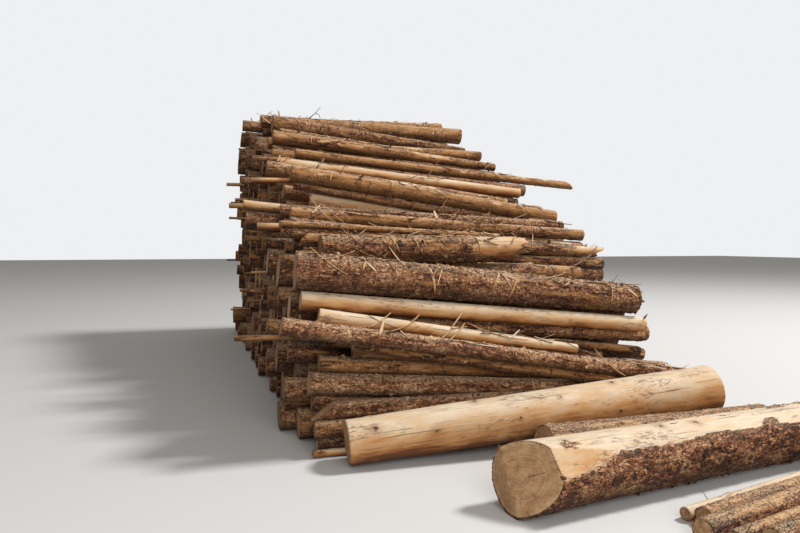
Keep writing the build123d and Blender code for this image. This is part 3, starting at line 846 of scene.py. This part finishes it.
class LogMesh:
    """Collects the points and faces of logs."""

    def __init__(self):
        names = ("grain", "out", "finish", "inset", "bare", "knot", "scraped")
        self.values = {name: [] for name in names}
        self.points = []
        self.faces = []
        self.caps = []
        self.hubs = []
        self.stubs = []
        self.count = 0

    def add_log(self, log, finish, step, stretch, chance):
        """Adds the side and both ends of a log, with what its materials read."""
        around_count = max(least_around, int(2 * math.pi * max(log.radius) / step))
        along_count = max(least_along, int(log.length / (step * stretch)))
        turn = np.linspace(0, 2 * math.pi, around_count, endpoint=False)
        share = np.linspace(0, 1, along_count + 1)
        along, around = np.meshgrid(share * log.length, turn, indexing="ij")
        radius = rough_radius(log, along, around, chance)
        lean = [(chance.uniform(-saw_lean, saw_lean), chance.uniform(-saw_lean, saw_lean)) for _ in range(2)]
        radius, bare, hewn = with_flat_sides(log, finish, along, around, radius)
        knots = knots_of(log, chance) if stretch < inner_stretch else []
        if finish.bark > 0:
            self.stubs += [(log, *knot) for knot in knots if chance.random() < stub_chance]
        knot = knot_distance(along, around, radius, knots)
        seed = chance.random()
        bow_turn = chance.uniform(0, 2 * math.pi)
        bow = chance.uniform(-1, 1) * bow_share * log.length

        across, high = radius * np.cos(around), radius * np.sin(around)
        rings = [(across, high, along, np.zeros_like(radius), bare, knot)]
        for end, row in ((0, 0), (1, -1)):
            cap = self.cap_rings(log, end, radius[row], turn, finish.splinters * end > 0, chance)
            rings.append((*cap, np.tile(bare[row], (len(cap[0]), 1)), np.full_like(cap[0], no_knot)))
        offset = (chance.uniform(0, 90), 0, 0)
        first = self.count
        grids = []
        for across, high, along, inset, bare, knot in rings:
            shares = along / log.length
            start, end = ends_at(log, across, high, lean)
            if finish.splinters:
                end = end - splintered(across, high, finish.splinters, random.Random(seed))
            placed = start * (1 - shares) + end * shares
            bend = np.sin(math.pi * shares) * bow
            places = log.start + placed[..., None] * log.axis
            places = places + (across + bend * math.cos(bow_turn))[..., None] * log.side
            places = places + (high + bend * math.sin(bow_turn))[..., None] * log.up
            grids.append(np.arange(self.count, self.count + across.size).reshape(across.shape))
            self.count += across.size
            self.points.append(places.reshape(-1, 3))
            self.values["out"].append(skin_outward(log, across, high, inset))
            self.values["grain"].append(np.stack([placed, across, high], axis=-1).reshape(-1, 3) + offset)
            for name, found in (("inset", inset), ("bare", bare), ("knot", knot)):
                self.values[name].append(found.reshape(-1))
        looks = np.tile((finish.bark, finish.bark_tone, finish.wood_tone), (self.count - first, 1))
        # Painted shade: the hewn sides get a darker wood tone.
        looks[:hewn.size, 2] -= hewn_side_shade * hewn.reshape(-1)
        self.values["finish"].append(looks)
        self.values["scraped"].append(np.full(len(looks), finish.scraped))
        self.join(grids)

    def cap_rings(self, log, end, rim, turn, broken, chance):
        """Rings of points over an end, from just inside the rim to the middle."""
        shares = np.linspace(0.1, 0.9, 9) if broken else (0.3, 0.65)
        insets = [bark_thickness] + [share * rim.mean() for share in shares]
        scale = np.array([1 - inset / rim.mean() for inset in insets] + [0.02])
        radius = scale[:, None] * rim[None, :]
        inset = rim[None, :] - radius
        dish = np.array([chance.uniform(-end_dish, end_dish) for _ in scale])
        along = np.full_like(radius, log.length * end) + dish[:, None]
        return radius * np.cos(turn), radius * np.sin(turn), along, inset

    def join(self, grids):
        """Faces between the rings of the side and of both ends."""
        side, left_end, right_end = grids
        after = np.roll(side, -1, axis=1)
        quads = np.stack([side[:-1], after[:-1], after[1:], side[1:]], axis=-1).reshape(-1, 4)
        cap_quads = []
        for rim, rings, flip in ((side[0], left_end, True), (side[-1], right_end, False)):
            every = np.vstack([rim[None], rings])
            after = np.roll(every, -1, axis=1)
            made = np.stack([every[:-1], after[:-1], after[1:], every[1:]], axis=-1).reshape(-1, 4)
            cap_quads.append(made[:, ::-1] if flip else made)
        self.faces.append(np.vstack([quads, *cap_quads]))
        self.caps.append(np.repeat([False, True], [len(quads), sum(len(made) for made in cap_quads)]))
        self.hubs += [left_end[-1][::-1], right_end[-1]]

    def mesh(self, name):
        """The collected logs as one mesh, with its attributes."""
        faces = np.vstack(self.faces)
        loops = np.concatenate([faces.reshape(-1), *self.hubs])
        sizes = np.array([4] * len(faces) + [len(hub) for hub in self.hubs])
        starts = np.concatenate([[0], np.cumsum(sizes)[:-1]])
        caps = np.concatenate(self.caps + [np.ones(len(self.hubs), dtype=bool)])
        points = np.vstack(self.points)
        mesh = bpy.data.meshes.new(name)
        mesh.vertices.add(len(points))
        mesh.vertices.foreach_set("co", points.reshape(-1).astype(np.float32))
        mesh.loops.add(len(loops))
        mesh.loops.foreach_set("vertex_index", loops.astype(np.int32))
        mesh.polygons.add(len(sizes))
        mesh.polygons.foreach_set("loop_start", starts.astype(np.int32))
        mesh.update(calc_edges=True)
        store_values(mesh, self.values)
        mesh.attributes.new("cap", "BOOLEAN", "FACE").data.foreach_set("value", caps)
        mesh.polygons.foreach_set("use_smooth", ~caps)
        mesh.validate()
        return mesh


def rough_radius(log, along, around, chance):
    """The log's radius at each place of its skin, wider at the butt and uneven."""
    shares = along / log.length
    straight = log.radius[0] + (log.radius[1] - log.radius[0]) * shares
    butt = along if log.radius[0] > log.radius[1] else log.length - along
    swell = np.exp(-butt / butt_reach) * butt_swell
    radius = straight * (skin_share - butt_swell + swell)
    return radius * (1 + lump_share * waves(along, around, chance))


def with_flat_sides(log, finish, along, around, radius):
    """The radius with its flat cuts, where the wood is bare and where it is hewn."""
    high = np.sin(around)
    shares = along / log.length
    bare = finish.bare_top * (1 - 0.5 * shares) * np.clip((high - 0.45) / 0.3, 0, 1)
    hewn = np.zeros_like(radius)
    for cut, level in log.cuts:
        if abs(cut[2]) > steepest_cut:
            continue
        facing = cut[0] * np.cos(around) + cut[1] * high
        limit = (level - cut[2] * along) / np.maximum(facing, 1e-4)
        cut_off = (facing > 1e-4) & (limit < radius)
        radius = np.where(cut_off, limit, radius)
        bare = np.where(cut_off, 1.0, bare)
        hewn = np.where(cut_off, 1.0, hewn)
    if finish.splinters:
        broken = along - log.length + 2.6 * finish.splinters - 0.5 * np.clip(-high, 0, 1)
        bare = np.maximum(bare, np.clip(broken / 0.08, 0, 0.7))
    return radius, bare, hewn


def ends_at(log, across, high, lean):
    """Where the log starts and ends, along its axis, at each place of its section."""
    start = across * lean[0][0] + high * lean[0][1]
    end = log.length + across * lean[1][0] + high * lean[1][1]
    for cut, level in log.cuts:
        if abs(cut[2]) <= steepest_cut:
            continue
        limit = (level - cut[0] * across - cut[1] * high) / cut[2]
        if cut[2] < 0:
            start = np.maximum(start, limit)
        else:
            end = np.minimum(end, limit)
    return start, end


def skin_outward(log, across, high, inset):
    """The way off the log at each place of its side, and nothing on its ends."""
    reach = np.maximum(np.hypot(across, high), 1e-6)
    outward = (across / reach)[..., None] * log.side + (high / reach)[..., None] * log.up
    return (outward * (inset < 1e-6)[..., None]).reshape(-1, 3)


NEAR_LOGS = ("foot_log_peeled", "foot_log_hewn")
DRAPED_LOGS = ("thick_bark", "broken_bark", "long_bark", "slope_log", "ridge")
SLOPE_LOGS = ("slope_log", "top_log", "ridge_log", "jutting", "yellow_ended_log", "long_thin")


def step_of(node):
    """How far apart the points of a log's mesh are: finer where the log is near."""
    if node in NEAR_LOGS:
        return near_step
    return slope_step if node.startswith(SLOPE_LOGS) else face_step


def pieces_of_logs():
    """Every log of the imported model, with its bark, as pieces that take the nodes' places."""
    made, stubs = [], []
    for index, node in enumerate(sorted(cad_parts)):
        chance = random.Random(index * 37 + 5)
        inner = node.startswith("inner_logs")
        mesh = LogMesh()
        finish = finish_of(node, chance)
        for log in logs_of(node):
            if inner:
                finish = inner_finish(chance)
                mesh.add_log(log, finish, inner_step, inner_stretch, chance)
            else:
                mesh.add_log(log, finish, step_of(node), face_stretch, chance)
        name = node + "_timber"
        piece = with_relief(name, mesh.mesh(name), {
            "Flakes": finish.flakes,
            "Bark thickness": bark_thickness * finish.thick,
            "Skin": skin,
            "End": sawn_end,
        })
        stubs.extend(mesh.stubs)
        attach(piece, "root")
        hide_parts(node)
        made.append(piece)
    return made, stubs


pieces, branch_stubs = pieces_of_logs()


# Loose pieces: stubs of branches, twigs and strips of bark that lie on the logs

class LoosePieces:
    """Collects rods and strips, each swept along a path, into one mesh."""

    def __init__(self, chance):
        self.chance = chance
        self.points = []
        self.faces = []
        self.values = {"grain": [], "out": [], "finish": [], "bark": [], "scraped": [], "knot": []}
        self.count = 0

    def sweep(self, path, up, sections, outward, bark, finish):
        """A solid along a path; sections are offsets across it and up, for each point."""
        path = np.array(path, dtype=float)
        up = np.broadcast_to(np.array(up, dtype=float), path.shape)
        ahead = np.gradient(path, axis=0)
        ahead /= np.linalg.norm(ahead, axis=1)[:, None]
        across = np.cross(ahead, up)
        across /= np.maximum(np.linalg.norm(across, axis=1), 1e-6)[:, None]
        up = np.cross(across, ahead)
        sections = np.array(sections)
        steps, corners = sections.shape[:2]
        size = steps * corners
        places = path[:, None] + sections[..., :1] * across[:, None] + sections[..., 1:] * up[:, None]
        outward = np.array(outward)
        out = outward[:, :1] * across[:, None] + outward[:, 1:] * up[:, None]
        index = np.arange(size).reshape(steps, corners) + self.count
        after = np.roll(index, -1, axis=1)
        quads = np.stack([index[:-1], index[1:], after[1:], after[:-1]], axis=-1).reshape(-1, 4)
        self.faces += quads.tolist() + [index[0].tolist(), index[-1][::-1].tolist()]
        self.count += size
        run = np.concatenate([[0], np.cumsum(np.linalg.norm(np.diff(path, axis=0), axis=1))])
        grain = np.concatenate([np.broadcast_to(run[:, None, None], (steps, corners, 1)), sections], axis=-1)
        grain = grain + np.array([self.chance.uniform(0, 90) for _ in range(3)])
        self.points.append(places.reshape(-1, 3))
        self.values["grain"].append(grain.reshape(-1, 3))
        self.values["out"].append(out.reshape(-1, 3))
        self.values["finish"].append(np.tile(finish, (size, 1)))
        self.values["bark"].append(np.tile(bark, steps))
        self.values["scraped"].append(np.full(size, self.chance.uniform(0.0, 1.0)))
        self.values["knot"].append(np.full(size, no_knot))

    def rod(self, path, thick, thin, bark=1.0):
        """A round twig that tapers along its path."""
        turn = np.linspace(0, 2 * math.pi, rod_sides, endpoint=False)
        circle = np.column_stack([np.cos(turn), np.sin(turn)])
        sections = np.linspace(thick, thin, len(path))[:, None, None] * circle[None]
        ahead = np.array(path[-1]) - np.array(path[0])
        upright = abs(ahead[2]) >= 0.8 * np.linalg.norm(ahead)
        up = (0.0, 1.0, 0.0) if upright else (0.0, 0.0, 1.0)
        self.sweep(path, up, sections, circle, np.full(rod_sides, bark), (bark, 0.45, 0.3))

    def strip(self, path, up, width, cup):
        """A strip of bark, cupped across and narrower at its ends."""
        steps = len(path)
        share = np.linspace(0, 1, steps)
        ends = (self.chance.uniform(0.15, 0.8), self.chance.uniform(0.15, 0.8))
        widths = width * np.minimum(1.0, np.minimum(ends[0] + share * 4, ends[1] + (1 - share) * 4))
        widths = widths * np.array([self.chance.uniform(0.75, 1.1) for _ in range(steps)])
        outline = np.array([(-0.5, 0), (0, 0), (0.5, 0), (0.5, 0), (0, 0), (-0.5, 0)])
        sections = outline[None] * widths[:, None, None]
        sections[..., 1] = cup * width * (1 - 4 * outline[:, 0] ** 2)
        sections[:, 3:, 1] += sheet_thickness
        outward = [(0, -1)] * 3 + [(0, 1)] * 3
        barked = 1.0 if self.chance.random() < 0.45 else 0.0
        bark = np.array([1 - barked] * 3 + [barked] * 3)
        finish = (0.5, self.chance.uniform(0.3, 0.65), self.chance.uniform(-0.5, 0.45))
        self.sweep(path, up, sections, outward, bark, finish)

    def make_piece(self, name):
        mesh = bpy.data.meshes.new(name)
        mesh.from_pydata(np.vstack(self.points).tolist(), [], self.faces)
        store_values(mesh, self.values)
        mesh.materials.append(skin)
        mesh.polygons.foreach_set("use_smooth", np.ones(len(mesh.polygons), dtype=bool))
        mesh.validate()
        piece = new_object(name, mesh)
        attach(piece, "root")


class Surface:
    """Finds the top of the logs under a place."""

    def __init__(self, logs):
        depsgraph = bpy.context.evaluated_depsgraph_get()
        self.trees = []
        for piece in logs:
            corners = np.array([corner[:] for corner in piece.bound_box])
            tree = BVHTree.FromObject(piece, depsgraph)
            self.trees.append((tree, corners.min(axis=0), corners.max(axis=0)))

    def height(self, x, y):
        best = 0.0
        for tree, low, high in self.trees:
            if high[2] > best and low[0] < x < high[0] and low[1] < y < high[1]:
                hit = tree.ray_cast((x, y, above_all), (0.0, 0.0, -1.0))[0]
                if hit:
                    best = max(best, hit[2])
        return best

    def laid(self, x, y, turn, length, chance):
        """The path of a stiff strip that comes to rest on the logs, or None."""
        share = np.linspace(-0.5, 0.5, path_steps)
        bend = chance.uniform(-0.12, 0.12) * length * (share ** 2 - 0.08)
        xs = x + share * length * math.cos(turn) - bend * math.sin(turn)
        ys = y + share * length * math.sin(turn) + bend * math.cos(turn)
        heights = np.array([self.height(a, b) for a, b in zip(xs, ys)])
        best = None
        for i in range(path_steps):
            for j in range(i + 1, path_steps):
                if share[i] > 0.05 or share[j] < -0.05:
                    continue
                slope = (heights[j] - heights[i]) / (share[j] - share[i])
                line = heights[i] + slope * (share - share[i])
                if (line > heights - 1e-3).all() and (best is None or line.mean() < best[0]):
                    best = (line.mean(), line, abs(slope) / length)
        if best is None or best[2] > steepest_strip or heights.min() < lowest_strip:
            return None
        curl = chance.uniform(0.0, 0.35) * length * share ** 2
        return np.column_stack([xs, ys, best[1] + curl])


def add_stubs(loose):
    """What is left of some branches: short stubs that stand off their knots."""
    chance = loose.chance
    for log, place, turn, size in branch_stubs:
        radius = log.radius_at(place / log.length)
        outward = log.outward(turn)
        base = log.start + place * log.axis + outward * radius * 0.86
        length = radius * 0.14 + chance.choice(stub_lengths)
        lean = outward + chance.uniform(-0.5, 0.1) * log.axis
        path = [base + lean * length * k / 2 for k in range(3)]
        if path[-1][2] > lowest_stub:
            loose.rod(path, size * 0.75, size * 0.55, 0.6)


def place_between(chance, near, far):
    """A place on the stack, more often towards its near end."""
    x = chance.uniform(cad_box[0][0] + side_margin, cad_box[1][0] - side_margin)
    return x, near + (far - near) * chance.random() ** 1.4


def add_strips(loose, surface, count, near, far):
    chance = loose.chance
    for _ in range(count):
        x, y = place_between(chance, near, far)
        turn = chance.gauss(0, 0.5) + (0 if chance.random() < 0.8 else math.pi / 2)
        path = surface.laid(x, y, turn, chance.uniform(*strip_lengths), chance)
        if path is not None:
            loose.strip(path, (0, 0, 1), chance.uniform(*strip_widths), chance.uniform(-0.25, 0.25))


def add_draped(loose, logs):
    """Strips that hang over the near side of a log."""
    chance = loose.chance
    for _ in range(draped_strips):
        log = chance.choice(logs)
        place = chance.uniform(0.1, 0.95) * log.length
        radius = log.radius_at(place / log.length)
        first, last = chance.uniform(1.2, 2.2), chance.uniform(2.6, 3.7)
        drift = chance.uniform(-0.12, 0.12)
        lift = chance.uniform(0.02, 0.30)
        path, ups = [], []
        for part in np.linspace(0, 1, path_steps + 1):
            outward = log.outward(first + (last - first) * part)
            reach = radius * (1.0 + lift * part ** 2)
            path.append(log.start + (place + drift * part) * log.axis + outward * reach)
            ups.append(outward)
        if min(point[2] for point in path) > lowest_draped:
            loose.strip(path, ups, chance.uniform(*draped_widths), chance.uniform(-0.2, 0.2))


def add_twigs(loose, surface):
    chance = loose.chance
    for _ in range(twigs_on_slope):
        x, y = place_between(chance, slope_foot, slope_head)
        length = chance.uniform(*twig_lengths)
        path = surface.laid(x, y, chance.gauss(0, 0.8), length, chance)
        if path is None:
            continue
        thick = chance.uniform(*twig_radii)
        path[:, 2] += thick
        loose.rod(path, thick, thick * 0.45, chance.choice((0.0, 1.0)))
        for _ in range(chance.randint(0, 3)):
            k = chance.randint(1, 5)
            away = np.array([chance.uniform(-1, 1), chance.uniform(-1, 1), chance.uniform(0.1, 0.9)])
            branch = [path[k] + away * length * 0.10 * t for t in (0, 1, 2)]
            loose.rod(branch, thick * 0.6, thick * 0.3)


def add_dead_branch(loose, surface):
    """The forked dead branch that stands on top of the stack."""
    x, y = branch_foot
    base = np.array([x, y, surface.height(x, y) - 0.02])
    main = [base + step for step in np.array(branch_steps)]
    fork = [main[2] + step for step in np.array(fork_steps)]
    loose.rod(main, 0.010, 0.004)
    loose.rod(fork, 0.006, 0.003)


def add_thin_poles(loose, logs):
    """Thin poles that stick out between the logs at their left ends."""
    chance = loose.chance
    starts = np.array([log.start for log in logs])
    radii = np.array([log.radius[0] for log in logs])
    wanted = thin_poles
    for _ in range(pole_tries):
        y, z = chance.uniform(slope_foot, slope_head), chance.uniform(*pole_heights)
        gap = (np.hypot(starts[:, 1] - y, starts[:, 2] - z) - radii).min()
        if wanted > 0 and pole_gaps[0] < gap < pole_gaps[1]:
            tip = cad_box[0][0] + chance.uniform(*pole_tips)
            droop = chance.uniform(-0.02, 0.02)
            path = [(tip + pole_step * k, y, z + droop * (1 - k / 4)) for k in range(5)]
            loose.rod(path, gap * 0.9, gap * 0.95, chance.choice((0.0, 1.0, 1.0)))
            wanted -= 1


def make_loose_pieces():
    surface = Surface(pieces)
    nodes = sorted(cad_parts)
    face = [log for node in nodes if node.startswith(DRAPED_LOGS) for log in logs_of(node)]
    inner = [log for node in nodes if node.startswith("inner") for log in logs_of(node)]
    loose = LoosePieces(random.Random(loose_seed))
    add_stubs(loose)
    add_strips(loose, surface, strips_on_slope, slope_foot, slope_head)
    add_strips(loose, surface, strips_on_top, slope_head, cad_box[1][1] - top_margin)
    add_draped(loose, face)
    add_twigs(loose, surface)
    add_dead_branch(loose, surface)
    add_thin_poles(loose, inner)
    loose.make_piece("loose_bark_and_twigs")


make_loose_pieces()


# The plain stage: floor, light and camera

def make_floor():
    mesh = bpy.data.meshes.new("floor")
    corners = [(x * floor_reach, y * floor_reach, 0) for x, y in ((-1, -1), (1, -1), (1, 1), (-1, 1))]
    mesh.from_pydata(corners, [], [(0, 1, 2, 3)])
    material, n = new_material("pale floor")
    shader = n.add("ShaderNodeBsdfPrincipled", {"Base Color": floor_colour, "Roughness": 0.9})
    n.add("ShaderNodeOutputMaterial", {0: shader.outputs[0]})
    mesh.materials.append(material)
    new_object("floor", mesh)


def make_light(name, place, size, power):
    lamp = bpy.data.lights.new(name, "AREA")
    lamp.size = size
    lamp.energy = power
    light = new_object(name, lamp)
    light.location = place
    light.rotation_euler = (Vector(light_target) - Vector(place)).to_track_quat("-Z", "Y").to_euler()


def make_world():
    world = bpy.data.worlds.new("studio")
    world.use_nodes = True
    world.node_tree.nodes.clear()
    n = Nodes(world.node_tree)
    light = n.add("ShaderNodeBackground", {"Color": world_light, "Strength": world_strength})
    backdrop = n.add("ShaderNodeBackground", {"Color": backdrop_colour, "Strength": 1.0})
    path = n.add("ShaderNodeLightPath").outputs["Is Camera Ray"]
    mixed = n.add("ShaderNodeMixShader", {0: path, 1: light.outputs[0], 2: backdrop.outputs[0]})
    n.add("ShaderNodeOutputWorld", {0: mixed.outputs[0]})
    bpy.context.scene.world = world


def make_camera():
    foot_log = logs_of("foot_log_peeled")[0]
    camera = new_object("camera", bpy.data.cameras.new("camera"))
    camera.data.lens = camera_lens
    camera.data.sensor_width = sensor_width
    camera.data.clip_end = 200.0
    x, y = foot_log.start[:2] + np.array(camera_from_foot_log)
    camera.location = (x, y, camera_height)
    camera.rotation_euler = (math.radians(90 + camera_tip), 0, math.radians(camera_turn))
    bpy.context.scene.camera = camera


make_floor()
make_world()
make_light("key", (13.0, -3.5, 19.0), 4.0, 5400)
make_light("fill", (-1.0, -12.0, 5.0), 6.0, 440)
make_camera()
bpy.context.scene.view_settings.view_transform = "Standard"

bpy.context.view_layer.update()
